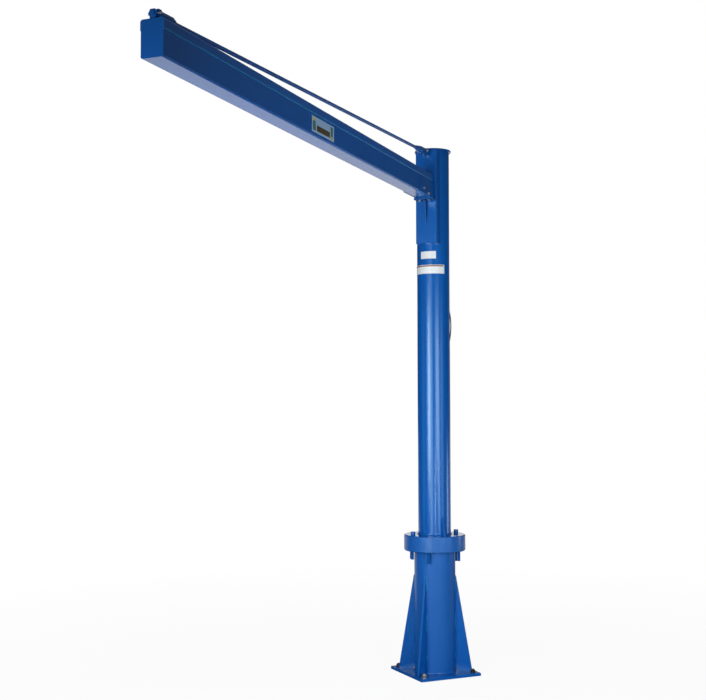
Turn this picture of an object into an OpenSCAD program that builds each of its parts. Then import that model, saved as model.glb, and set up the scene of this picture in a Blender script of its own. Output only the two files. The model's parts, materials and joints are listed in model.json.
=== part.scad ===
// Pillar jib crane: a turning mast on a short bolted-down pedestal, a box jib bolted to the
// flat-faced head of the mast, and a tie rod from the mast top to the jib tip.
// Units are millimetres. The origin is the middle of the underside of the base plate, Z is up,
// and at rest the jib reaches along -Y. Angles are counted from -Y towards +X.

/* [Base plate] */
// Side of the square base plate
plate_side = 440; // [420:2:520]
// Thickness of the base plate
plate_t = 19; // [12:1:25]
// Turn of one plate corner away from the resting jib, degrees
plate_turn = 2; // [-10:1:10]
// Radius of the four anchor bolt holes
anchor_r = 258; // [255:1:268]
// Diameter of an anchor bolt hole
anchor_d = 24; // [16:1:28]

/* [Pedestal] */
// Outer diameter of the pedestal pipe
pedestal_od = 273; // [250:1:290]
// Wall of the pedestal pipe
pedestal_wall = 9.3; // [6:0.1:14]
// Height of the pedestal pipe top above the ground
pedestal_top = 806; // [760:1:820]
// Thickness of a gusset
gusset_t = 12; // [8:1:16]
// Radius reached by the gusset foot
gusset_foot_r = 246; // [240:1:252]
// Radius reached by the gusset top
gusset_top_r = 142.5; // [140:0.5:160]
// Height of the gusset top above the ground
gusset_top = 640; // [500:5:700]
// Leg of the snipe that clears the plate weld
gusset_snipe = 20; // [10:1:30]
// Angle between the front and rear gussets and their anchor bolts, degrees
gusset_shift = 10.5; // [6:0.5:14]
// Angle between the side gussets and their anchor bolts, degrees
gusset_side_shift = 6; // [6:0.5:14]

/* [Slewing hub] */
// Outer diameter of the hub that turns on the pedestal
hub_od = 409; // [390:1:420]
// Height of the hub
hub_h = 105; // [90:1:120]
// Running gap under the hub
hub_gap = 4; // [2:0.5:8]
// Edge rounding of the hub
hub_edge = 5; // [1:0.5:8]
// Diameter of the fixed pivot post inside the hub
pivot_d = 120; // [90:1:140]

/* [Mast] */
// Outer diameter of the mast pipe
mast_od = 219.1; // [200:0.1:240]
// Wall of the mast pipe
mast_wall = 8.2; // [5:0.1:12]
// Height of the underside of the cap above the ground
mast_top = 3488; // [3300:1:3700]
// Diameter of the cap disc
cap_od = 243.5; // [230:0.5:260]
// Thickness of the cap disc
cap_t = 10; // [6:0.5:16]
// Height of a foot rib
rib_h = 122; // [80:1:160]
// Radius reached by a foot rib
rib_r = 150; // [130:1:170]
// Thickness of a foot rib
rib_t = 10; // [6:1:14]

/* [Head box] */
// Width of the flat-faced box on the mast head
head_w = 150; // [130:1:160]
// Distance of the flat face from the mast axis
head_y = 145; // [140:1:170]
// Height of the lower end of the box above the ground
head_bottom = 2854; // [2700:1:3000]
// Wall of the box
head_wall = 8; // [5:0.5:11]
// Outside radius of the box's folded corners
head_fold = 12; // [12:0.5:20]

/* [Jib] */
// Width of the jib beam
jib_w = 105; // [90:1:120]
// Height of the jib underside above the ground
jib_bottom = 3152; // [3100:1:3200]
// Height of the jib beam
jib_h = 157; // [140:1:180]
// Wall of the jib beam
jib_wall = 5; // [3:0.5:8]
// Outside corner radius of the jib beam
jib_corner = 9; // [6:0.5:14]
// Distance of the jib tip from the mast axis
jib_reach = 3543; // [3000:1:4000]
// Depth of the channel laid over the top of the jib
channel_h = 41; // [30:1:60]
// Sheet of that channel
channel_t = 3; // [2:0.5:5]
// Leg of the weld that runs under the channel's edges
channel_weld = 4; // [2:0.5:6]
// Thickness of the end plate at the tip
end_t = 6; // [4:0.5:10]
// Thickness of the heel plate between beam and head face
heel_t = 12; // [8:1:20]

/* [Jib seat] */
// Width of the seat under the heel of the jib
seat_w = 132; // [122:1:138]
// Length of the seat
seat_l = 59; // [40:1:80]
// Thickness of the seat
seat_t = 12; // [8:1:16]
// Length of a cheek beside the beam
cheek_l = 270; // [200:5:320]
// Height of a cheek
cheek_h = 100; // [60:1:108]
// Thickness of a cheek
cheek_t = 6; // [4:0.5:10]
// Height of the knee gusset under the seat
knee_h = 150; // [100:1:200]
// How far the knee gusset stands out from the head face
knee_out = 33; // [14:1:44]
// Thickness of the knee gusset
knee_t = 10; // [6:1:14]

/* [Tie rod] */
// Diameter of the tie rod
rod_d = 20; // [16:1:24]
// Distance of the head pin from the mast axis
pin_y = 175; // [172:1:190]
// Height of the head pin above the ground
pin_z = 3464; // [3440:1:3464]
// Diameter of the head pin
pin_d = 18; // [14:1:22]
// Radius of the lugs and of the eye between them
lug_r = 22; // [20:0.5:24]
// Distance of the tip anchor from the mast axis
anchor_y = 3515; // [3000:1:3516]
// Height of the rod axis over the jib top at the anchor
anchor_rise = 22; // [22:0.5:24]
// Outer diameter of the round socket behind the eye
socket_d = 46; // [36:1:46]

/* [Cable loop] */
// Thickness of the cable
loop_d = 6.5; // [4:0.5:10]
// Height of the loop middle above the ground
loop_z = 2310; // [1600:10:2600]
// Height the loop spans
loop_span = 250; // [150:5:320]
// Distance the loop stands off the mast
loop_off = 13; // [8:1:30]

/* [Hidden] */
$fn = 96;
eps = 0.01;
hub_z = pedestal_top + hub_gap;
mast_z = hub_z + hub_h;
head_back = 70;
root = 3;
web_toe = 8;
pivot_flange_t = 20;
pivot_rise = 70;
pivot_clear = 1.5;
hub_pocket = 74;
closure_t = 8;
knee_toe = 6;
jib_top = jib_bottom + jib_h;
heel_y = head_y + heel_t;
gusset_angles = [
  plate_turn - gusset_shift,
  90 + plate_turn + gusset_side_shift,
  180 + plate_turn - gusset_shift,
  270 + plate_turn + gusset_side_shift
];
anchor_z = jib_top + channel_t + anchor_rise;
rod_run = anchor_y - pin_y;
rod_fall = pin_z - anchor_z;
rod_tilt = atan(rod_fall / rod_run);
rod_len = sqrt(rod_run * rod_run + rod_fall * rod_fall);
cheek_snipe = 15;
head_socket_from = 36;
head_socket_end = 95;
head_neck_end = 185;
rod_depth = 60;
tip_sleeve_from = 10;
tip_sleeve_len = 102;
tip_sleeve_d = socket_d - 2;
tip_depth = 40;
tip_nut_from = 8;
tip_nut_len = 18;
tip_nut_across = 36;
tip_stud_out = 5;
lock_len = 26;
lock_across = 28.5;
anchor_len = 14;
anchor_w = 50;
anchor_h = 43;
anchor_corner = 10;
lug_gap = 24;
lug_t = 8;
loop_r = (loop_span * loop_span / 4 + loop_off * loop_off) / (2 * loop_off);
loop_half = asin(loop_span / 2 / loop_r);

// ---------- helpers ----------

// Places a piece at an angle counted from -Y towards +X, with its own +X pointing outwards
module at_angle(a) {
  rotate([0, 0, a - 90]) children();
}

// Places a piece on the rod axis: its own +Z runs from the head pin to the tip
module along_rod(from = 0) {
  translate([0, -pin_y, pin_z])
    rotate([90 + rod_tilt, 0, 0])
      translate([0, 0, from]) children();
}

// Upright plate drawn as (radius, height), standing on a radius
module upright(t) {
  rotate([90, 0, 0]) translate([0, 0, -t / 2]) linear_extrude(t) children();
}

// Outline of the jib section, standing on its underside
module jib_outline(w, h, r) {
  translate([-w / 2 + r, r]) circle(r, $fn = 48);
  translate([w / 2 - r, r]) circle(r, $fn = 48);
  translate([-w / 2 + r, h - r]) circle(r, $fn = 48);
  translate([w / 2 - r, h - r]) circle(r, $fn = 48);
  translate([-w / 2 + r, 0]) square([w - 2 * r, h]);
  translate([-w / 2, r]) square([w, h - 2 * r]);
}

// Outline of the folded box seen from above, with rounded corners at its front
module fold_outline(w, front, back, r) {
  translate([-w / 2 + r, -front + r]) circle(r, $fn = 48);
  translate([w / 2 - r, -front + r]) circle(r, $fn = 48);
  translate([-w / 2 + r, -front]) square([w - 2 * r, front - back]);
  translate([-w / 2, -front + r]) square([w, front - back - r]);
}

// ---------- pedestal, fixed ----------

module base_plate() {
  color("royalblue")
  difference() {
    rotate([0, 0, 45 + plate_turn])
      translate([-plate_side / 2, -plate_side / 2, 0]) cube([plate_side, plate_side, plate_t]);
    for (k = [0:3])
      at_angle(plate_turn + 90 * k)
        translate([anchor_r, 0, -1]) cylinder(d = anchor_d, h = plate_t + 2);
  }
}

module pedestal_pipe() {
  color("royalblue")
  translate([0, 0, plate_t])
    difference() {
      cylinder(d = pedestal_od, h = pedestal_top - plate_t, $fn = 160);
      translate([0, 0, -1]) cylinder(d = pedestal_od - 2 * pedestal_wall, h = pedestal_top, $fn = 160);
    }
}

module base_gusset(a) {
  inner = pedestal_od / 2 - root;
  snipe_r = pedestal_od / 2 + gusset_snipe;
  color("royalblue")
  difference() {
    at_angle(a)
      upright(gusset_t)
        polygon([[inner, plate_t + gusset_snipe + root], [inner, gusset_top],
          [gusset_top_r, gusset_top], [gusset_foot_r, plate_t + web_toe],
          [gusset_foot_r, plate_t], [snipe_r, plate_t]]);
    cylinder(d = pedestal_od, h = pedestal_top, $fn = 160);
  }
}

module base_gusset_front() {
  base_gusset(gusset_angles[0]);
}

module base_gusset_right() {
  base_gusset(gusset_angles[1]);
}

module base_gusset_rear() {
  base_gusset(gusset_angles[2]);
}

module base_gusset_left() {
  base_gusset(gusset_angles[3]);
}

// Fixed post on a plate let into the top of the pedestal; the hub turns on it
module pivot_post() {
  color("silver") {
    translate([0, 0, pedestal_top - pivot_flange_t])
      cylinder(d = pedestal_od - 2 * pedestal_wall, h = pivot_flange_t, $fn = 160);
    translate([0, 0, pedestal_top - eps]) cylinder(d = pivot_d, h = hub_gap + pivot_rise);
  }
}

// ---------- turning part ----------

module slewing_hub() {
  color("steelblue")
  translate([0, 0, hub_z])
    rotate_extrude($fn = 180)
      polygon([[pivot_d / 2 + pivot_clear, 0], [hub_od / 2 - hub_edge, 0], [hub_od / 2, hub_edge],
        [hub_od / 2, hub_h - hub_edge], [hub_od / 2 - hub_edge, hub_h], [0, hub_h],
        [0, hub_pocket], [pivot_d / 2 + pivot_clear, hub_pocket]]);
}

module mast_foot_rib(a) {
  color("royalblue")
  difference() {
    at_angle(a)
      upright(rib_t)
        polygon([[mast_od / 2 - root, mast_z], [rib_r, mast_z], [rib_r, mast_z + web_toe],
          [mast_od / 2 + root, mast_z + rib_h], [mast_od / 2 - root, mast_z + rib_h]]);
    translate([0, 0, mast_z - 1]) cylinder(d = mast_od, h = rib_h + 2, $fn = 128);
  }
}

module mast_foot_rib_front() {
  mast_foot_rib(45);
}

module mast_foot_rib_rear() {
  mast_foot_rib(225);
}

module mast_pipe() {
  color("royalblue")
  translate([0, 0, mast_z])
    difference() {
      cylinder(d = mast_od, h = mast_top - mast_z, $fn = 128);
      translate([0, 0, -1]) cylinder(d = mast_od - 2 * mast_wall, h = mast_top, $fn = 128);
    }
}

module mast_cap() {
  color("royalblue")
  translate([0, 0, mast_top]) cylinder(d = cap_od, h = cap_t, $fn = 128);
}

// Folded channel: flat face towards the jib, two sides running back onto the mast pipe
module head_channel() {
  color("royalblue")
  translate([0, 0, head_bottom])
    linear_extrude(mast_top - head_bottom)
      difference() {
        fold_outline(head_w, head_y, head_back, head_fold);
        fold_outline(head_w - 2 * head_wall, head_y - head_wall, 0, head_fold - head_wall);
        circle(d = mast_od, $fn = 128);
      }
}

// Plate that closes the box between its face and the mast
module head_closure(z) {
  translate([0, 0, z])
    linear_extrude(closure_t)
      difference() {
        fold_outline(head_w - 2 * head_wall, head_y - head_wall, head_back, head_fold - head_wall);
        circle(d = mast_od, $fn = 128);
      }
}

module head_bottom_plate() {
  color("royalblue") head_closure(head_bottom);
}

module head_top_plate() {
  color("royalblue") head_closure(mast_top - closure_t);
}

// ---------- jib ----------

module jib_beam() {
  color("royalblue")
  translate([0, -heel_y, jib_bottom])
    rotate([90, 0, 0])
      linear_extrude(jib_reach - end_t - heel_y)
        difference() {
          jib_outline(jib_w, jib_h, jib_corner);
          translate([0, jib_wall])
            jib_outline(jib_w - 2 * jib_wall, jib_h - 2 * jib_wall, jib_corner - jib_wall + 0.5);
        }
}

// Rounded cover laid over the beam, seen end on; each side ends at a lip whose weld slopes inwards
module channel_outline() {
  lip = jib_h - channel_h;
  near = jib_w / 2;
  far = near + 2 * channel_t;
  difference() {
    jib_outline(jib_w + 2 * channel_t, jib_h + channel_t, jib_corner + channel_t);
    jib_outline(jib_w, jib_h, jib_corner);
    polygon([[-far, -1], [far, -1], [far, lip + channel_weld], [near, lip - channel_weld],
      [-near, lip - channel_weld], [-far, lip + channel_weld]]);
  }
}

module jib_top_channel() {
  color("royalblue")
  translate([0, -heel_y, jib_bottom])
    rotate([90, 0, 0])
      linear_extrude(jib_reach - end_t - heel_y) channel_outline();
}

module jib_end_plate() {
  color("royalblue")
  translate([0, -jib_reach + end_t, jib_bottom])
    rotate([90, 0, 0])
      linear_extrude(end_t) {
        jib_outline(jib_w, jib_h, jib_corner);
        channel_outline();
      }
}

module jib_heel_plate() {
  color("royalblue")
  translate([0, -head_y, jib_bottom])
    rotate([90, 0, 0])
      linear_extrude(heel_t)
        jib_outline(jib_w + 2 * channel_t, jib_h + channel_t, jib_corner);
}

// ---------- seat under the heel ----------

module seat_plate() {
  color("royalblue")
  translate([-seat_w / 2, -head_y - seat_l, jib_bottom - seat_t]) cube([seat_w, seat_l, seat_t]);
}

module seat_cheek(side) {
  x0 = side > 0 ? jib_w / 2 : -jib_w / 2 - cheek_t;
  color("royalblue")
  translate([x0, -heel_y, jib_bottom])
    rotate([90, 0, 90])
      linear_extrude(cheek_t)
        polygon([[0, 0], [-cheek_l, 0], [-cheek_l, cheek_h - cheek_snipe],
          [-cheek_l + cheek_snipe, cheek_h], [0, cheek_h]]);
}

module seat_cheek_left() {
  seat_cheek(-1);
}

module seat_cheek_right() {
  seat_cheek(1);
}

module knee_gusset() {
  color("royalblue")
  rotate([0, 0, -90])
    upright(knee_t)
      polygon([[head_y, jib_bottom - seat_t], [head_y + knee_out, jib_bottom - seat_t],
        [head_y + knee_out, jib_bottom - seat_t - knee_toe],
        [head_y + knee_toe, jib_bottom - seat_t - knee_h],
        [head_y, jib_bottom - seat_t - knee_h]]);
}

// ---------- tie rod ----------

module head_lug(side) {
  x0 = side > 0 ? lug_gap / 2 : -lug_gap / 2 - lug_t;
  color("royalblue")
  translate([x0, 0, 0])
    difference() {
      union() {
        translate([0, -pin_y, pin_z - lug_r]) cube([lug_t, pin_y - head_y, 2 * lug_r]);
        translate([0, -pin_y, pin_z]) rotate([0, 90, 0]) cylinder(r = lug_r, h = lug_t);
      }
      translate([-1, -pin_y, pin_z]) rotate([0, 90, 0]) cylinder(d = pin_d + 1, h = lug_t + 2);
    }
}

module head_lug_left() {
  head_lug(-1);
}

module head_lug_right() {
  head_lug(1);
}

module head_pin() {
  half = lug_gap / 2 + lug_t;
  color("silver") {
    translate([-half - 5, -pin_y, pin_z]) rotate([0, 90, 0]) cylinder(d = pin_d, h = 2 * half + 5 + eps);
    translate([half, -pin_y, pin_z]) rotate([0, 90, 0]) cylinder(d = pin_d + 6, h = 10);
  }
}

// Flat eye on the head pin, a round socket behind it, and a long taper down to the rod
module rod_head_eye() {
  eye_t = lug_gap - 4;
  eye_r = lug_r - 1;
  color("royalblue")
  along_rod()
    difference() {
      union() {
        rotate([0, 90, 0]) translate([0, 0, -eye_t / 2]) cylinder(r = eye_r, h = eye_t);
        translate([-eye_t / 2, -eye_r, 0]) cube([eye_t, 2 * eye_r, head_socket_from + 6]);
        translate([0, 0, head_socket_from]) cylinder(d = socket_d, h = head_socket_end - head_socket_from);
        translate([0, 0, head_socket_end - eps])
          cylinder(d1 = socket_d, d2 = rod_d + 4, h = head_neck_end - head_socket_end);
      }
      rotate([0, 90, 0]) translate([0, 0, -lug_gap]) cylinder(d = pin_d + 1, h = 2 * lug_gap);
      translate([0, 0, head_socket_end - rod_depth]) cylinder(d = rod_d, h = head_neck_end);
    }
}

module tie_rod() {
  from = head_socket_end - rod_depth;
  to = rod_len - tip_sleeve_from - tip_sleeve_len + tip_depth;
  color("royalblue")
  along_rod(from) cylinder(d = rod_d, h = to - from, $fn = 48);
}

// Hexagon nut on the rod axis, its corners pointing sideways
module rod_nut(from, across, len) {
  along_rod(from)
    difference() {
      cylinder(d = across / cos(30), h = len, $fn = 6);
      translate([0, 0, -1]) cylinder(d = rod_d, h = len + 2, $fn = 48);
    }
}

module rod_lock_nut() {
  color("royalblue")
  rod_nut(rod_len - tip_sleeve_from - tip_sleeve_len - lock_len, lock_across, lock_len);
}

module rod_tip_sleeve() {
  at = rod_len - tip_sleeve_from - tip_sleeve_len;
  color("royalblue")
  along_rod(at)
    difference() {
      cylinder(d = tip_sleeve_d, h = tip_sleeve_len);
      translate([0, 0, -1]) cylinder(d = rod_d, h = tip_sleeve_len + 2, $fn = 48);
    }
}

// Screwed stud that runs from inside the sleeve through the anchor and its end nut
module tip_stud() {
  from = rod_len - tip_sleeve_from - tip_depth;
  to = rod_len + tip_nut_from + tip_nut_len + tip_stud_out;
  color("royalblue")
  along_rod(from) cylinder(d = rod_d, h = to - from, $fn = 48);
}

module tip_end_nut() {
  color("royalblue")
  rod_nut(rod_len + tip_nut_from, tip_nut_across, tip_nut_len);
}

// Plate standing across the jib top with rounded upper corners; the stud passes through it
module tip_anchor() {
  color("royalblue")
  difference() {
    translate([0, -anchor_y + anchor_len / 2, jib_top + channel_t])
      rotate([90, 0, 0])
        linear_extrude(anchor_len) {
          translate([-anchor_w / 2, 0]) square([anchor_w, anchor_h - anchor_corner]);
          translate([-anchor_w / 2 + anchor_corner, 0]) square([anchor_w - 2 * anchor_corner, anchor_h]);
          translate([-anchor_w / 2 + anchor_corner, anchor_h - anchor_corner]) circle(anchor_corner, $fn = 48);
          translate([anchor_w / 2 - anchor_corner, anchor_h - anchor_corner]) circle(anchor_corner, $fn = 48);
        }
    along_rod(rod_len - 60) cylinder(d = rod_d + 1, h = 120, $fn = 48);
  }
}

// ---------- cable ----------

// Short bow of cable at the back of the mast, both ends entering the pipe wall
module cable_loop() {
  color("black")
  at_angle(112)
    translate([mast_od / 2 + loop_off + loop_d / 2 - loop_r, 0, loop_z])
      rotate([90, 0, 0])
        rotate([0, 0, -loop_half])
          rotate_extrude(angle = 2 * loop_half, $fn = 480)
            translate([loop_r, 0]) circle(d = loop_d, $fn = 24);
}

base_plate();
pedestal_pipe();
base_gusset_front();
base_gusset_right();
base_gusset_rear();
base_gusset_left();
pivot_post();
slewing_hub();
mast_foot_rib_front();
mast_foot_rib_rear();
mast_pipe();
mast_cap();
head_channel();
head_bottom_plate();
head_top_plate();
head_lug_left();
head_lug_right();
head_pin();
rod_head_eye();
tie_rod();
rod_lock_nut();
rod_tip_sleeve();
tip_stud();
tip_end_nut();
tip_anchor();
jib_heel_plate();
jib_beam();
jib_top_channel();
jib_end_plate();
seat_plate();
seat_cheek_left();
seat_cheek_right();
knee_gusset();
cable_loop();
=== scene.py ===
"""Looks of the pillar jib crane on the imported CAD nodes: enamel, zinc and cable materials; what the
CAD leaves out, which is anchor bolts, hub studs, seat bolts, a split pin, welds and bare labels; a
cable bow closer to the mast than the CAD one; and the white stage with its lamps and camera.
Lengths are in metres. Angles round the mast are in degrees, counted from -Y towards +X."""
import json
import math
import random

import bmesh
import bpy
from mathutils import Matrix, Vector


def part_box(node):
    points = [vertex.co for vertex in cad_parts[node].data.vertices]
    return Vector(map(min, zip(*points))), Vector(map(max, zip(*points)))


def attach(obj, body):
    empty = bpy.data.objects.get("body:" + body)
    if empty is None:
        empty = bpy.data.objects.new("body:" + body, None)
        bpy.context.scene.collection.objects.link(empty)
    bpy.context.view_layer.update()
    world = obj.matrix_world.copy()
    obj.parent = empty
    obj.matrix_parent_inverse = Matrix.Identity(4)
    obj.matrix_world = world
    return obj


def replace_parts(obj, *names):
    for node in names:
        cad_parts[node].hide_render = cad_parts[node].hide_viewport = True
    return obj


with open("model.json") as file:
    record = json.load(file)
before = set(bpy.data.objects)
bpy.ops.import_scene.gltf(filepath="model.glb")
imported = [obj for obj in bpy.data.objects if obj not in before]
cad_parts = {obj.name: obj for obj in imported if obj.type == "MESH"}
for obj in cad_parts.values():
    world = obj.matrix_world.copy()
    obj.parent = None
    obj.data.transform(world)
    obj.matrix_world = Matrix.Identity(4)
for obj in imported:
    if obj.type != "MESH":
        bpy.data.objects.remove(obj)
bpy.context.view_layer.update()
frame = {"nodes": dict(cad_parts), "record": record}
NODES = frame["nodes"]
RND = random.Random(7)
SIDES = ("front", "right", "rear", "left")


# ---------------------------------------------------------------- shader helpers

def add_node(nt, kind, **inputs):
    """Shader node with constants on the named sockets."""
    n = nt.nodes.new(kind)
    for key, value in inputs.items():
        n.inputs[key].default_value = value
    return n


def new_material(name):
    """Empty material with a Principled shader on its output."""
    m = bpy.data.materials.new(name)
    m.use_nodes = True
    nt = m.node_tree
    nt.nodes.clear()
    out = add_node(nt, "ShaderNodeOutputMaterial")
    bsdf = add_node(nt, "ShaderNodeBsdfPrincipled")
    nt.links.new(bsdf.outputs[0], out.inputs["Surface"])
    return m, nt, bsdf


def noise(nt, scale, detail=4.0, rough=0.5, stretch=None):
    """Noise in object space; returns its grey value."""
    place = add_node(nt, "ShaderNodeTexCoord").outputs["Object"]
    n = add_node(nt, "ShaderNodeTexNoise", Scale=scale, Detail=detail, Roughness=rough)
    if stretch:
        mapping = add_node(nt, "ShaderNodeMapping", Scale=stretch)
        nt.links.new(place, mapping.inputs["Vector"])
        place = mapping.outputs[0]
    nt.links.new(place, n.inputs["Vector"])
    return n.outputs["Fac"]


def tint(nt, bsdf, source, dark, light):
    """Base colour from dark to light with the source."""
    r = add_node(nt, "ShaderNodeValToRGB")
    for stop, position, colour in zip(r.color_ramp.elements, (0.3, 0.7), (dark, light)):
        stop.position = position
        stop.color = (*colour, 1.0)
    nt.links.new(source, r.inputs["Fac"])
    nt.links.new(r.outputs[0], bsdf.inputs["Base Color"])


def spread(nt, source, low, high):
    """Source stretched from 0..1 to low..high."""
    r = add_node(nt, "ShaderNodeMapRange", **{"To Min": low, "To Max": high})
    nt.links.new(source, r.inputs["Value"])
    return r.outputs[0]


def bump(nt, bsdf, source, strength, distance):
    """Relief from the source on the shader's normal."""
    b = add_node(nt, "ShaderNodeBump", Strength=strength, Distance=distance)
    nt.links.new(source, b.inputs["Height"])
    nt.links.new(b.outputs[0], bsdf.inputs["Normal"])
    return b


def math_node(nt, operation, a, b):
    """Math node whose two inputs are sockets or plain numbers."""
    n = add_node(nt, "ShaderNodeMath")
    n.operation = operation
    for socket, value in zip(n.inputs, (a, b)):
        if isinstance(value, (int, float)):
            socket.default_value = value
        else:
            nt.links.new(value, socket)
    return n.outputs[0]


def vector_node(nt, operation, source, other=None):
    """Vector math on the source and a constant vector."""
    n = add_node(nt, "ShaderNodeVectorMath")
    n.operation = operation
    nt.links.new(source, n.inputs[0])
    if other:
        n.inputs[1].default_value = other
    return n


def smooth_range(nt, source, span, values):
    """Smooth step: the first value below the span, the second above it."""
    n = add_node(nt, "ShaderNodeMapRange", **{"From Min": span[0], "From Max": span[1],
                                              "To Min": values[0], "To Max": values[1]})
    n.interpolation_type = "SMOOTHSTEP"
    nt.links.new(source, n.inputs["Value"])
    return n.outputs[0]


def mix_shaders(nt, share, low, high):
    """Shader low where the share is 0 and high where it is 1."""
    n = add_node(nt, "ShaderNodeMixShader")
    nt.links.new(share, n.inputs["Fac"])
    nt.links.new(low.outputs[0], n.inputs[1])
    nt.links.new(high.outputs[0], n.inputs[2])
    return n


# ---------------------------------------------------------------- materials

TOP_FACING = (0.90, 0.98)
COAT_ROUGHNESS = 0.09
SPECULAR_TINT = (0.62, 0.86, 0.93, 1.0)
LABEL_SHADE = 0.94


def enamel(name, dark, light, rough, peel, grain, gloss=0.62, coat=0.0, smooth_top=None):
    """Sprayed enamel: soft colour drift and orange peel of the given strength and grain; smooth_top
    is the roughness of machined faces that look straight up."""
    m, nt, bsdf = new_material(name)
    tint(nt, bsdf, noise(nt, scale=3.0, detail=5.0, rough=0.6), dark, light)
    matt = spread(nt, noise(nt, scale=26.0, detail=3.0), *rough)
    skin = noise(nt, scale=grain, detail=3.0, rough=0.55)
    relief = bump(nt, bsdf, skin, strength=peel, distance=0.0006)
    if smooth_top is not None:
        facing = add_node(nt, "ShaderNodeNewGeometry")
        axes = add_node(nt, "ShaderNodeSeparateXYZ")
        nt.links.new(facing.outputs["True Normal"], axes.inputs[0])
        top = smooth_range(nt, axes.outputs["Z"], TOP_FACING, (0.0, 1.0))
        blend = add_node(nt, "ShaderNodeMix", B=smooth_top)
        nt.links.new(top, blend.inputs["Factor"])
        nt.links.new(matt, blend.inputs["A"])
        matt = blend.outputs["Result"]
        nt.links.new(math_node(nt, "SUBTRACT", 1.0, top), relief.inputs["Strength"])
    nt.links.new(matt, bsdf.inputs["Roughness"])
    bsdf.inputs["Specular IOR Level"].default_value = gloss
    bsdf.inputs["Coat Weight"].default_value = coat
    bsdf.inputs["Coat Roughness"].default_value = COAT_ROUGHNESS
    bsdf.inputs["Specular Tint"].default_value = SPECULAR_TINT
    return m


def plated(name, dark, light, rough=(0.22, 0.42)):
    """Zinc-plated or bare steel with cloudy patches and fine scratches."""
    m, nt, bsdf = new_material(name)
    cloud = noise(nt, scale=90.0, detail=6.0, rough=0.65)
    tint(nt, bsdf, cloud, dark, light)
    nt.links.new(spread(nt, cloud, *rough), bsdf.inputs["Roughness"])
    bsdf.inputs["Metallic"].default_value = 1.0
    scratch = noise(nt, scale=700.0, detail=2.0, stretch=(1.0, 1.0, 0.12))
    bump(nt, bsdf, scratch, strength=0.2, distance=0.0003)
    return m


def plain(name, dark, light, rough, grain, detail, strength, distance):
    """Cable sheath or label sheet: one noise for the colour and the relief, one roughness."""
    m, nt, bsdf = new_material(name)
    n = noise(nt, scale=grain, detail=detail)
    tint(nt, bsdf, n, dark, light)
    bsdf.inputs["Roughness"].default_value = rough
    bump(nt, bsdf, n, strength, distance)
    return m


def label(name, field):
    return plain(name, tuple(c * LABEL_SHADE for c in field), field, rough=0.45, grain=60.0,
                 detail=4.0, strength=0.05, distance=0.0002)


PAINT = {"dark": (0.0012, 0.089, 0.382), "light": (0.0016, 0.098, 0.415)}
BLUE = enamel("blue_enamel", **PAINT, rough=(0.18, 0.26), peel=0.10, grain=90.0)
SATIN = enamel("blue_satin", **PAINT, rough=(0.38, 0.48), peel=0.2, grain=200.0, gloss=0.5,
               coat=0.22)
HUB = enamel("hub_enamel", (0.0014, 0.088, 0.375), (0.0020, 0.099, 0.410), rough=(0.34, 0.46),
             peel=0.35, grain=320.0, coat=0.2, smooth_top=0.12)
# duller blue whose darker colour is painted shade, for the shaded knee gusset and seat plate
DULL_PAINTED_SHADE = enamel("blue_dull_painted_shade", (0.0012, 0.066, 0.265), (0.0016, 0.076, 0.300), rough=(0.48, 0.58),
              peel=0.2, grain=200.0, gloss=0.30)
# lighter blue for weld beads: a painted highlight along the beads
WELD_PAINTED_HIGHLIGHT = enamel("blue_weld_painted_highlight", (0.006, 0.180, 0.480), (0.009, 0.205, 0.520), rough=(0.38, 0.48),
                peel=0.2, grain=200.0, gloss=0.4)
ZINC = plated("zinc", (0.50, 0.50, 0.48), (0.74, 0.74, 0.72))
STEEL = plated("bare_steel", (0.32, 0.31, 0.30), (0.50, 0.50, 0.49))
BROWN = plated("anchor_brown", (0.035, 0.026, 0.018), (0.11, 0.085, 0.06), rough=(0.35, 0.6))
CABLE = plain("cable_black", (0.012, 0.010, 0.014), (0.035, 0.030, 0.040), rough=0.5, grain=160.0,
              detail=3.0, strength=0.15, distance=0.0003)
LABEL_WHITE = label("label_white", (0.80, 0.82, 0.84))
LABEL_BUFF = label("label_buff", (0.26, 0.105, 0.055))
LABEL_PALE = label("label_pale_blue", (0.34, 0.53, 0.80))
LABEL_BROWN = label("label_brown", (0.075, 0.048, 0.016))
LABEL_GREEN = label("label_green", (0.05, 0.16, 0.13))
LABEL_YELLOW = label("label_yellow", (0.60, 0.52, 0.13))

SLOT_MATERIAL = {"blue_paint": BLUE, "hub_paint": HUB, "zinc_steel": ZINC, "bare_steel": STEEL,
                 "cable_black": CABLE}
# nodes whose paint shines less than the rest of their slot; the knee gusset and seat plate also get a
# darker blue, which is painted shade
FINISH = {"pedestal_pipe": SATIN, "knee_gusset": DULL_PAINTED_SHADE, "seat_plate": DULL_PAINTED_SHADE,
          "jib_top_channel": SATIN, "tie_rod": SATIN}
for part in frame["record"]["subparts"]:
    mats = NODES[part["node"]].data.materials
    mats.clear()
    mats.append(FINISH.get(part["node"], SLOT_MATERIAL[part["material_slot"]]))


# ---------------------------------------------------------------- mesh helpers

SHARP_ANGLE = math.radians(30)
ON_AXIS = 1e-7
POINT_STEP = 0.006
# shares of a fastener's radius or height
THREAD_ROOT, THREAD_END = 0.88, 0.82
FACE_EDGE, NUT_BEVEL, WASHER_BEVEL = 0.97, 0.12, 0.2
THREAD_PITCH = 0.0025
# a bead's unevenness: turn of its wave at each point, the wave's share of it, and its open ends
WAVE_TURN, WAVE_SHARE, BEAD_END = 2.1, 0.6, 0.45
NEARLY_UPRIGHT = 0.2
# gap under the crane's fasteners and the jib's label; the washers on the base plate touch it
SEAT_GAP = 0.0002


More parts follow.
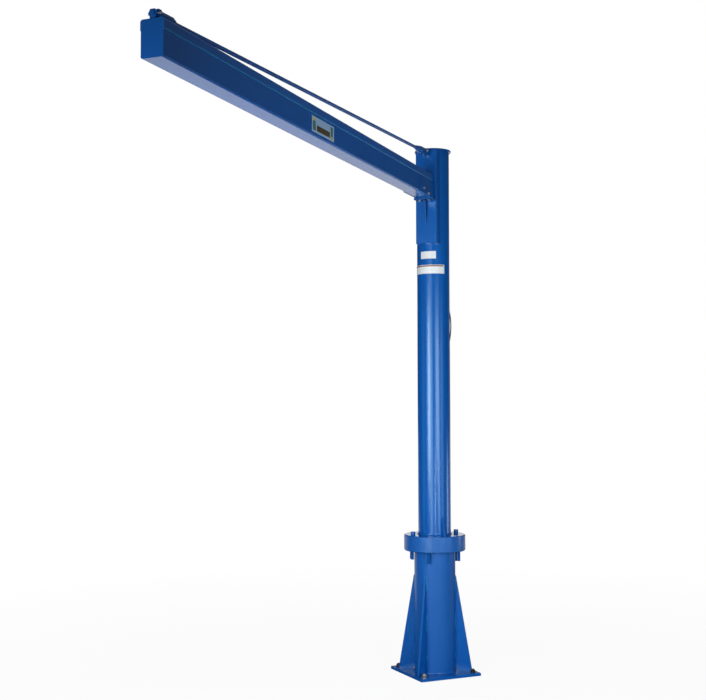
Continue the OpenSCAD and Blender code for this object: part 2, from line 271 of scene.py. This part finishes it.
def finish_mesh(bm, name, material, body):
    """Object from the mesh, riding on the body with the slot's finish."""
    me = bpy.data.meshes.new(name)
    bm.normal_update()
    bm.to_mesh(me)
    bm.free()
    o = bpy.data.objects.new(name, me)
    bpy.context.scene.collection.objects.link(o)
    me.materials.append(material)
    for p in me.polygons:
        p.use_smooth = True
    me.set_sharp_from_angle(angle=SHARP_ANGLE)
    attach(o, body)
    return o


def round_point(r, a, z):
    """Point at radius r, height z and a radians from +X."""
    return Vector((r * math.cos(a), r * math.sin(a), z))


def at_angle(deg, r, z=0.0):
    """Point at radius r and height z, deg degrees from -Y towards +X."""
    a = math.radians(deg)
    return Vector((r * math.sin(a), -r * math.cos(a), z))


def lathe(bm, profile, matrix, sides, turn=0.0):
    """Closed solid of revolution about local Z; profile is (radius, z) from bottom to top."""
    rings = []
    for r, z in profile:
        spots = 1 if r < ON_AXIS else sides
        rings.append([bm.verts.new(matrix @ round_point(r, turn + 2 * math.pi * i / sides, z))
                      for i in range(spots)])
    for a, b in zip(rings, rings[1:]):
        for i in range(sides):
            j = (i + 1) % sides
            if len(a) == 1 and len(b) > 1:
                bm.faces.new((a[0], b[j], b[i]))
            elif len(b) == 1 and len(a) > 1:
                bm.faces.new((a[i], a[j], b[0]))
            elif len(a) > 1:
                bm.faces.new((a[i], a[j], b[j], b[i]))


def stud(bm, matrix, r, z0, z1):
    """Threaded bar from z0 to z1 with ridges and narrower ends."""
    n = max(2, int((z1 - z0) / THREAD_PITCH))
    profile = [(0, z0), (r * THREAD_END, z0)]
    for i in range(n):
        crest = z0 + (z1 - z0) * (i + 0.25) / n
        valley = z0 + (z1 - z0) * (i + 0.75) / n
        profile += [(r, crest), (r * THREAD_ROOT, valley)]
    lathe(bm, profile + [(r * THREAD_END, z1), (0, z1)], matrix, sides=20)


def chamfered_disc(bm, matrix, face_r, edge_r, bevel, z0, z1, sides, turn=0.0):
    """Disc whose faces end at face_r and whose side, at edge_r, starts one bevel further in."""
    lathe(bm, [(0, z0), (face_r, z0), (edge_r, z0 + bevel), (edge_r, z1 - bevel), (face_r, z1),
               (0, z1)], matrix, sides, turn)


def nut(bm, matrix, across, z0, z1, turn):
    """Hexagon nut or bolt head with turned-off corners; across is its width over the flats."""
    chamfered_disc(bm, matrix, across / 2 * FACE_EDGE, across / 2 / math.cos(math.pi / 6),
                   NUT_BEVEL * (z1 - z0), z0, z1, sides=6, turn=turn)


def washer(bm, matrix, r, z0, z1):
    chamfered_disc(bm, matrix, r * FACE_EDGE, r, WASHER_BEVEL * (z1 - z0), z0, z1, sides=36)


def nut_on_washer(bm, matrix, washer_r, washer_top, across, nut_top, turn, seat=SEAT_GAP):
    """Washer from the seat to washer_top, and a nut or bolt head on it up to nut_top."""
    washer(bm, matrix, washer_r, seat, washer_top)
    nut(bm, matrix, across, washer_top, nut_top, turn)


def bead(bm, points, r, closed=False, wobble=0.18, sides=10):
    """Rounded string along the points, such as a weld or a wire: uneven by its wobble, and thinner
    at open ends."""
    count = len(points)
    rings = []
    for i, p in enumerate(points):
        a = points[(i - 1) % count] if closed or i else points[i]
        b = points[(i + 1) % count] if closed or i < count - 1 else points[i]
        ahead = (b - a).normalized()
        side = ahead.cross(Vector((0, 0, 1)))
        if side.length < NEARLY_UPRIGHT:
            side = ahead.cross(Vector((0, 1, 0)))
        side.normalize()
        up = side.cross(ahead)
        k = (1 + wobble * math.sin(i * WAVE_TURN) * WAVE_SHARE
             + wobble * RND.uniform(-0.5, 0.5))
        if not closed and i in (0, count - 1):
            k *= BEAD_END
        rings.append([bm.verts.new(p + side * (r * k * math.cos(2 * math.pi * s / sides))
                                   + up * (r * k * math.sin(2 * math.pi * s / sides)))
                      for s in range(sides)])
    for a, b in zip(rings, rings[1:] + rings[:1] if closed else rings[1:]):
        for s in range(sides):
            q = (s + 1) % sides
            bm.faces.new((a[s], b[s], b[q], a[q]))
    if not closed:
        bm.faces.new(rings[0])
        bm.faces.new(list(reversed(rings[-1])))


def ring_points(r, z):
    """Full ring of points round the mast axis."""
    n = max(8, int(2 * math.pi * r / POINT_STEP))
    return [round_point(r, 2 * math.pi * i / n, z) for i in range(n)]


def line_points(a, b, step=POINT_STEP):
    """Points from a to b, both included."""
    a, b = Vector(a), Vector(b)
    n = max(2, int((b - a).length / step))
    return [a.lerp(b, i / n) for i in range(n + 1)]


# ---------------------------------------------------------------- sizes read from the frame

hub_lo, hub_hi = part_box("slewing_hub")
beam_lo, beam_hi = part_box("jib_beam")
chan_lo, chan_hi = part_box("jib_top_channel")
nut_lo, nut_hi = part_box("tip_end_nut")
seat_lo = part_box("seat_plate")[0]
cheek_lo, cheek_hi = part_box("seat_cheek_right")
mast_lo, mast_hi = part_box("mast_pipe")
ped_lo, ped_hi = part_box("pedestal_pipe")
MAST_R = (mast_hi.x - mast_lo.x) / 2
PED_R = (ped_hi.x - ped_lo.x) / 2
PLATE_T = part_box("base_plate")[1].z
# the record gives the anchors' pitch circle as a diameter in millimetres
ANCHORS = next(m for m in frame["record"]["mounts"] if m["name"] == "anchor_holes")
ANCHOR_R = ANCHORS["dims"]["pcd_mm"] / 2 / 1000


# ---------------------------------------------------------------- bolts and pin

# a washer, a nut and a bolt end at each hole of the base plate, the front one bright and larger
# the pattern is turned a little, and each nut sits at its own angle
ANCHOR_TURN = 2.0
for k, side in enumerate(SIDES):
    bm = bmesh.new()
    at = Matrix.Translation(at_angle(ANCHOR_TURN + 90 * k, ANCHOR_R, PLATE_T))
    if side == "front":
        nut_on_washer(bm, at, washer_r=0.019, washer_top=0.004, across=0.030, nut_top=0.021,
                      turn=0.3 + k, seat=0.0)
        stud(bm, at, r=0.0098, z0=0.021, z1=0.027)
    else:
        nut_on_washer(bm, at, washer_r=0.017, washer_top=0.003, across=0.026, nut_top=0.017,
                      turn=0.3 + k, seat=0.0)
        stud(bm, at, r=0.0088, z0=0.017, z1=0.023)
    finish_mesh(bm, "anchor_bolt_" + side, ZINC if side == "front" else BROWN, "pedestal")

# threaded studs of several lengths below the slewing hub, and two hexagon heads that stand on it
STUD_CIRCLE_R = 0.165
bm = bmesh.new()
for angle, length in ((-45, 0.057), (4, 0.074), (94, 0.069), (138, 0.084), (184, 0.074),
                      (271, 0.068)):
    at = Matrix.Translation(at_angle(angle, STUD_CIRCLE_R, hub_lo.z))
    stud(bm, at, r=0.0100, z0=-length, z1=-SEAT_GAP)
finish_mesh(bm, "hub_studs", BLUE, "crane")
bm = bmesh.new()
for angle in (-42, 138):
    at = Matrix.Translation(at_angle(angle, STUD_CIRCLE_R, hub_hi.z))
    nut_on_washer(bm, at, washer_r=0.016, washer_top=0.004, across=0.027, nut_top=0.023, turn=0.35)
finish_mesh(bm, "hub_heads", BLUE, "crane")

# seat bolts: two heads below the seat plate and two on the outside of each cheek
SEAT_BOLT_X, SEAT_BOLT_IN = 0.031, 0.018
CHEEK_BOLTS = ((-0.359, 0.032), (-0.268, 0.011))
bm = bmesh.new()
for x in (-SEAT_BOLT_X, SEAT_BOLT_X):
    at = Matrix.Translation(Vector((x, seat_lo.y + SEAT_BOLT_IN, seat_lo.z)))
    nut_on_washer(bm, at @ Matrix.Rotation(math.pi, 4, "X"), washer_r=0.0095, washer_top=0.0022,
                  across=0.016, nut_top=0.010, turn=0.4)
for sign in (1, -1):
    for y, rise in CHEEK_BOLTS:
        at = Matrix.Translation(Vector((sign * cheek_hi.x, y, cheek_lo.z + rise)))
        nut_on_washer(bm, at @ Matrix.Rotation(sign * math.pi / 2, 4, "Y"), washer_r=0.0085,
                      washer_top=0.002, across=0.013, nut_top=0.008, turn=0.2)
finish_mesh(bm, "seat_bolts", ZINC, "crane")

# split pin through the end nut at the tip: an eye on its right and two bent legs on its left
bm = bmesh.new()
mid = Vector((0, (nut_lo.y + nut_hi.y) / 2, (nut_lo.z + nut_hi.z) / 2))
half_eye = ((-0.004, 0.0008), (0.004, 0.0014), (0.010, 0.0034), (0.014, 0.0024))
eye = [*half_eye, (0.0155, 0.0), *((x, -z) for x, z in reversed(half_eye))]
bead(bm, [mid + Vector((nut_hi.x + x, 0.0, z)) for x, z in eye], r=0.0019, wobble=0.0)
for z in (0.0012, -0.0012):
    leg = ((0.004, z), (-0.003, z * 1.5), (-0.006, z * 5))
    bead(bm, [mid + Vector((nut_lo.x + x, 0, zz)) for x, zz in leg], r=0.0017, wobble=0.0)
finish_mesh(bm, "split_pin", ZINC, "crane")


# ---------------------------------------------------------------- welds

# a bead's middle stands this far out of the two faces that it joins
ROOT_OUT = 0.001
bm = bmesh.new()
bead(bm, ring_points(MAST_R + ROOT_OUT, hub_hi.z + ROOT_OUT), r=0.005, closed=True)
finish_mesh(bm, "weld_mast_foot", BLUE, "crane")
bm = bmesh.new()
bead(bm, ring_points(PED_R + ROOT_OUT, PLATE_T + ROOT_OUT), r=0.006, closed=True)
finish_mesh(bm, "weld_pedestal_foot", BLUE, "pedestal")

# each gusset: a bead over its top edge and down both sides, then two stitches lower on each side
GUSSET_HALF_T = 0.006
GUSSET_WELD_ASIDE, GUSSET_WELD_OUT = 0.0085, 0.0004
WELD_HALF_TURN = math.degrees(GUSSET_WELD_ASIDE / PED_R)
WRAP_DROP, WRAP_RISE = 0.085, 0.002
STITCHES = ((0.29, 0.40), (0.10, 0.14))
bm = bmesh.new()
for side in SIDES:
    lo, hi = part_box("base_gusset_" + side)
    # the box reaches furthest across at one foot corner, half a thickness from the middle plane
    edge = max((lo.x, hi.x) if side in ("front", "rear") else (lo.y, hi.y), key=abs)
    middle = edge - math.copysign(GUSSET_HALF_T, edge)
    x, y = {"front": (middle, lo.y), "right": (hi.x, middle), "rear": (middle, hi.y),
            "left": (lo.x, middle)}[side]
    turn = math.degrees(math.atan2(x, -y))
    r, top = PED_R + GUSSET_WELD_OUT, hi.z
    a, b = turn - WELD_HALF_TURN, turn + WELD_HALF_TURN
    wrap = line_points(at_angle(a, r, top - WRAP_DROP), at_angle(a, r, top))
    wrap += line_points(at_angle(a, r, top + WRAP_RISE), at_angle(b, r, top + WRAP_RISE),
                        step=0.004)
    wrap += line_points(at_angle(b, r, top), at_angle(b, r, top - WRAP_DROP))
    bead(bm, wrap, r=0.0030)
    for z0, z1 in STITCHES:
        for angle in (a, b):
            bead(bm, line_points(at_angle(angle, r, z0), at_angle(angle, r, z1)), r=0.0028)
# the gusset welds' lighter blue is a painted highlight
finish_mesh(bm, "weld_gussets", WELD_PAINTED_HIGHLIGHT, "pedestal")

# one long bead along each lower edge of the jib's top channel, ending short of its two ends
CHANNEL_WELD_OUT, CHANNEL_WELD_UP = 0.0012, 0.004
SHORT_OF_TIP, SHORT_OF_HEEL = 0.012, 0.004
bm = bmesh.new()
for sign in (1, -1):
    x, z = sign * (beam_hi.x + CHANNEL_WELD_OUT), chan_lo.z + CHANNEL_WELD_UP
    bead(bm, line_points((x, chan_lo.y + SHORT_OF_TIP, z), (x, chan_hi.y - SHORT_OF_HEEL, z),
                         step=0.018), r=0.0038, wobble=0.10)
# the channel welds' lighter blue is a painted highlight
finish_mesh(bm, "weld_channel", WELD_PAINTED_HIGHLIGHT, "crane")


# ---------------------------------------------------------------- cable bow

# close behind the mast, both ends in the pipe wall; t runs from -1 to 1 along the bow
BOW_ANGLE = 112
BOW_Z, BOW_HALF = sum((v.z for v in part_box("cable_loop")), 0.0) / 2, 0.119
BOW_OFF, BOW_DEPTH = 0.0072, 0.0140
BOW_STEPS = 20
bm = bmesh.new()
bead(bm, [at_angle(BOW_ANGLE, MAST_R + BOW_OFF - BOW_DEPTH * t * t, BOW_Z + BOW_HALF * t)
          for t in (i / BOW_STEPS for i in range(-BOW_STEPS, BOW_STEPS + 1))],
     r=0.0038, wobble=0.0, sides=14)
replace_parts(finish_mesh(bm, "cable_bow", CABLE, "crane"), "cable_loop")


# ---------------------------------------------------------------- labels without words

WRAPPED_T, FLAT_T = 0.0006, 0.0008


def wrapped_label(name, heights, angles, material, lift=0.0006):
    """Thin sheet on the mast pipe between two heights and two angles."""
    bm = bmesh.new()
    r = MAST_R + lift
    (z0, z1), (a0, a1) = heights, angles
    n = max(4, int(abs(a1 - a0) / 2))
    rows = [[bm.verts.new(at_angle(a0 + (a1 - a0) * i / n, rr, z)) for rr, z in
             ((r, z0), (r + WRAPPED_T, z0), (r + WRAPPED_T, z1), (r, z1))] for i in range(n + 1)]
    for p, q in zip(rows, rows[1:]):
        for s in range(4):
            t = (s + 1) % 4
            bm.faces.new((p[s], q[s], q[t], p[t]))
    bm.faces.new(rows[0])
    bm.faces.new(list(reversed(rows[-1])))
    finish_mesh(bm, name, material, "crane")


wrapped_label("label_small", heights=(2.755, 2.805), angles=(-29.5, 28), material=LABEL_WHITE)
wrapped_label("label_wide", heights=(2.655, 2.714), angles=(-78, 60), material=LABEL_WHITE)
wrapped_label("label_wide_stripe", heights=(2.7025, 2.7105), angles=(-78, 56),
              material=LABEL_BUFF, lift=0.0013)

# the jib's label, on the right side of the beam, counted from its lower corner nearest the tip
LABEL_Y, LABEL_Z = -2.115, beam_lo.z + 0.018


def jib_label(name, along, up, material, lift=0.0011):
    """Thin flat sheet on the jib, from and to along it and up it; lift is its gap over the beam."""
    bm = bmesh.new()
    x = beam_hi.x + lift
    y0, y1 = (LABEL_Y + y for y in along)
    z0, z1 = (LABEL_Z + z for z in up)
    v = [bm.verts.new((xx, y, z)) for xx in (x, x + FLAT_T)
         for y, z in ((y0, z0), (y1, z0), (y1, z1), (y0, z1))]
    for f in ((3, 2, 1, 0), (4, 5, 6, 7), (0, 1, 5, 4), (1, 2, 6, 5), (2, 3, 7, 6), (3, 0, 4, 7)):
        bm.faces.new([v[i] for i in f])
    finish_mesh(bm, name, material, "crane")


FRONT_BAR, REAR_BAR = (0.012, 0.044), (0.240, 0.268)
jib_label("label_jib", along=(0.0, 0.285), up=(0.0, 0.082), material=LABEL_PALE, lift=SEAT_GAP)
jib_label("label_jib_panel", along=(0.062, 0.228), up=(0.012, 0.042), material=LABEL_BROWN)
jib_label("label_jib_bar_front", along=FRONT_BAR, up=(0.010, 0.060), material=LABEL_GREEN)
jib_label("label_jib_tab_front", along=FRONT_BAR, up=(0.062, 0.078), material=LABEL_YELLOW)
jib_label("label_jib_bar_rear", along=REAR_BAR, up=(0.022, 0.074), material=LABEL_GREEN)
jib_label("label_jib_tab_rear", along=REAR_BAR, up=(0.005, 0.020), material=LABEL_YELLOW)


# ---------------------------------------------------------------- floor and world

# The camera sees white, and near the crane a little of the shaded floor. The paint in the
# photograph seems to mirror a room that is white only in some directions behind the crane, so
# glossy rays see white in these sectors, which are fitted to it, and dark grey elsewhere. A sector
# is (middle, inner, outer): full within inner degrees of its middle, none beyond outer.
DIM_GLOSS = 0.03
DIM_ROOM = 0.05
FLOOR_WHITE = 0.94
FLOOR_FAR, FLOOR_LEFT = (13, 34, 48), (60, 14, 24)
WORLD_RIM, WORLD_WALL = (-12, 8, 30), (18, 12, 26)
RISING, FALLING = (0.0, 1.0), (1.0, 0.0)
WHITE, PALE = (1, 1, 1, 1), (0.82, 0.82, 0.82, 1)
FLOOR_HALF = 60.0


def in_sector(nt, direction, middle, inner, outer):
    """Share of a direction, taken level, that lies in the sector, counted from +Y towards -X."""
    turn = math.radians(middle)
    flat = vector_node(nt, "MULTIPLY", direction, (1, 1, 0)).outputs[0]
    unit = vector_node(nt, "NORMALIZE", flat).outputs[0]
    along = vector_node(nt, "DOT_PRODUCT", unit, (-math.sin(turn), math.cos(turn), 0))
    edges = (math.cos(math.radians(outer)), math.cos(math.radians(inner)))
    return smooth_range(nt, along.outputs["Value"], edges, RISING)


def product(nt, a, b):
    return math_node(nt, "MULTIPLY", a, b)


def brightest(nt, a, b):
    return math_node(nt, "MAXIMUM", a, b)


def seen_directly(nt, path):
    """1 for camera rays and for rays that a surface lets through."""
    return brightest(nt, path.outputs["Is Camera Ray"], path.outputs["Is Transmission Ray"])


def stage_material():
    """Pale floor that takes the shadow, white for the camera further out, and for glossy rays white
    in its sectors."""
    m, nt, bsdf = new_material("floor_pale")
    bsdf.inputs["Base Color"].default_value = PALE
    bsdf.inputs["Roughness"].default_value = 0.9
    path = add_node(nt, "ShaderNodeLightPath")
    place = add_node(nt, "ShaderNodeNewGeometry").outputs["Position"]
    distance = vector_node(nt, "LENGTH", place).outputs["Value"]
    # spans of distance from the mast's foot, over which each patch begins and fades
    far = product(nt, smooth_range(nt, distance, (4.5, 7.5), RISING),
                  smooth_range(nt, distance, (9.0, 17.0), (1.0, 0.94)))
    far = product(nt, far, in_sector(nt, place, *FLOOR_FAR))
    left = product(nt, smooth_range(nt, distance, (2.2, 3.2), RISING),
                   smooth_range(nt, distance, (8.5, 11.0), FALLING))
    left = product(nt, in_sector(nt, place, *FLOOR_LEFT), left)
    glow = add_node(nt, "ShaderNodeEmission")
    nt.links.new(brightest(nt, brightest(nt, far, DIM_GLOSS), left), glow.inputs["Strength"])
    by_gloss = mix_shaders(nt, path.outputs["Is Glossy Ray"], bsdf, glow)
    white_share = smooth_range(nt, distance, (1.0, 6.0), (FLOOR_WHITE, 1.0))
    by_sight = mix_shaders(nt, product(nt, seen_directly(nt, path), white_share), by_gloss,
                           add_node(nt, "ShaderNodeEmission", Strength=1.0))
    out = next(n for n in nt.nodes if n.type == "OUTPUT_MATERIAL")
    nt.links.new(by_sight.outputs[0], out.inputs["Surface"])
    return m


bm = bmesh.new()
bmesh.ops.create_grid(bm, x_segments=2, y_segments=2, size=FLOOR_HALF)
me = bpy.data.meshes.new("floor")
bm.to_mesh(me)
bm.free()
floor = bpy.data.objects.new("floor", me)
bpy.context.scene.collection.objects.link(floor)
me.materials.append(stage_material())

world = bpy.data.worlds.new("studio")
bpy.context.scene.world = world
world.use_nodes = True
wn = world.node_tree
wn.nodes.clear()
out = add_node(wn, "ShaderNodeOutputWorld")
path = add_node(wn, "ShaderNodeLightPath")
ray = add_node(wn, "ShaderNodeTexCoord").outputs["Generated"]
axes = add_node(wn, "ShaderNodeSeparateXYZ")
wn.links.new(ray, axes.inputs[0])
# spans of the ray's rise, which is 0 when level and 1 when straight up
rise = axes.outputs["Z"]
rim = product(wn, in_sector(wn, ray, *WORLD_RIM),
              smooth_range(wn, rise, (0.10, 0.17), (0.3, 0.03)))
band = product(wn, smooth_range(wn, rise, (0.05, 0.08), RISING),
               smooth_range(wn, rise, (0.16, 0.22), (1.0, 0.08)))
wall = product(wn, in_sector(wn, ray, *WORLD_WALL), band)
front = smooth_range(wn, axes.outputs["Y"], (-0.2, 0.2), FALLING)
sky_front = product(wn, front, smooth_range(wn, rise, (0.07, 0.18), (0.0, 0.16)))
sky_back = smooth_range(wn, rise, (0.18, 0.32), (DIM_GLOSS, 0.13))
bright = brightest(wn, brightest(wn, rim, wall), brightest(wn, sky_front, sky_back))
glow = add_node(wn, "ShaderNodeBackground", Color=WHITE)
wn.links.new(bright, glow.inputs["Strength"])
by_gloss = mix_shaders(wn, path.outputs["Is Glossy Ray"],
                       add_node(wn, "ShaderNodeBackground", Strength=DIM_ROOM, Color=WHITE), glow)
by_sight = mix_shaders(wn, seen_directly(wn, path), by_gloss,
                       add_node(wn, "ShaderNodeBackground", Strength=1.0, Color=WHITE))
wn.links.new(by_sight.outputs[0], out.inputs["Surface"])


# ---------------------------------------------------------------- lamps

def softbox(name, angle, distance, z, size, watts, aim_z, spread=120):
    """Soft lamp at an angle round the mast, aimed at the height aim_z on the mast axis."""
    light = bpy.data.lights.new("softbox_" + name, "AREA")
    light.shape = "RECTANGLE"
    light.size, light.size_y = size
    light.energy = watts
    light.color = (0.95, 0.99, 1.0)
    light.spread = math.radians(spread)
    o = bpy.data.objects.new("softbox_" + name, light)
    bpy.context.scene.collection.objects.link(o)
    o.location = at_angle(angle, distance, z)
    o.rotation_mode = "QUATERNION"
    o.rotation_quaternion = (Vector((0, 0, aim_z)) - o.location).to_track_quat("-Z", "Y")
    o.visible_camera = False
    return o


for name, angle, distance, z, size, watts, aim_z in (
        ("left", -15, 4.5, 1.9, (1.1, 1.7), 32.5, 1.7),
        ("left_fill", -24, 4.5, 1.9, (1.1, 1.7), 8.0, 1.7),
        ("right", 42, 4.5, 1.9, (2.0, 1.6), 28.0, 1.7),
        ("front", 0, 4.6, 1.5, (1.4, 2.4), 19.5, 1.6),
        ("side", 75, 4.5, 1.5, (1.4, 2.4), 8.0, 1.5),
        ("far_left", -60, 4.5, 1.5, (1.4, 2.4), 2.0, 1.5),
        ("low_middle", 24, 4.5, 0.8, (0.4, 0.7), 5.0, 1.0),
        ("low_right", 51, 4.5, 0.8, (0.9, 0.7), 5.0, 1.0),
        ("low_back", 124, 4.5, 0.8, (1.0, 0.9), 5.5, 1.0),
        ("high", 0, 7.0, 3.6, (2.0, 1.0), 6.5, 3.0)):
    softbox(name, angle, distance, z, size, watts, aim_z)
softbox("top", 10, 1.2, 6.8, (2.0, 2.0), 36.0, aim_z=0.0, spread=180)
# fills the hidden side and isn't mirrored in the paint
softbox("back", 198, 5.0, 2.6, (2.5, 2.5), 60.0, aim_z=1.8, spread=140).visible_glossy = False


# ---------------------------------------------------------------- camera solved from the photo

SENSOR_W = 36.0
FOCAL_PX, IMAGE_W_PX = 1162.1, 706
CAMERA_AT = (2.46352, -7.45756, 1.76255)
cam_data = bpy.data.cameras.new("camera")
cam_data.sensor_width = SENSOR_W
cam_data.lens = SENSOR_W * FOCAL_PX / IMAGE_W_PX
cam = bpy.data.objects.new("camera", cam_data)
bpy.context.scene.collection.objects.link(cam)
yaw, pitch, roll = math.radians(-22.257), math.radians(2.824), math.radians(-0.105)
ahead = Vector((math.sin(yaw) * math.cos(pitch), math.cos(yaw) * math.cos(pitch), math.sin(pitch)))
level_right = Vector((math.cos(yaw), -math.sin(yaw), 0))
level_up = level_right.cross(ahead)
right = level_right * math.cos(roll) + level_up * math.sin(roll)
up = level_up * math.cos(roll) - level_right * math.sin(roll)
cam.matrix_world = Matrix.Translation(CAMERA_AT) @ Matrix((
    (right.x, up.x, -ahead.x, 0), (right.y, up.y, -ahead.y, 0), (right.z, up.z, -ahead.z, 0),
    (0, 0, 0, 1)))
bpy.context.scene.camera = cam
bpy.context.scene.view_settings.view_transform = "Standard"
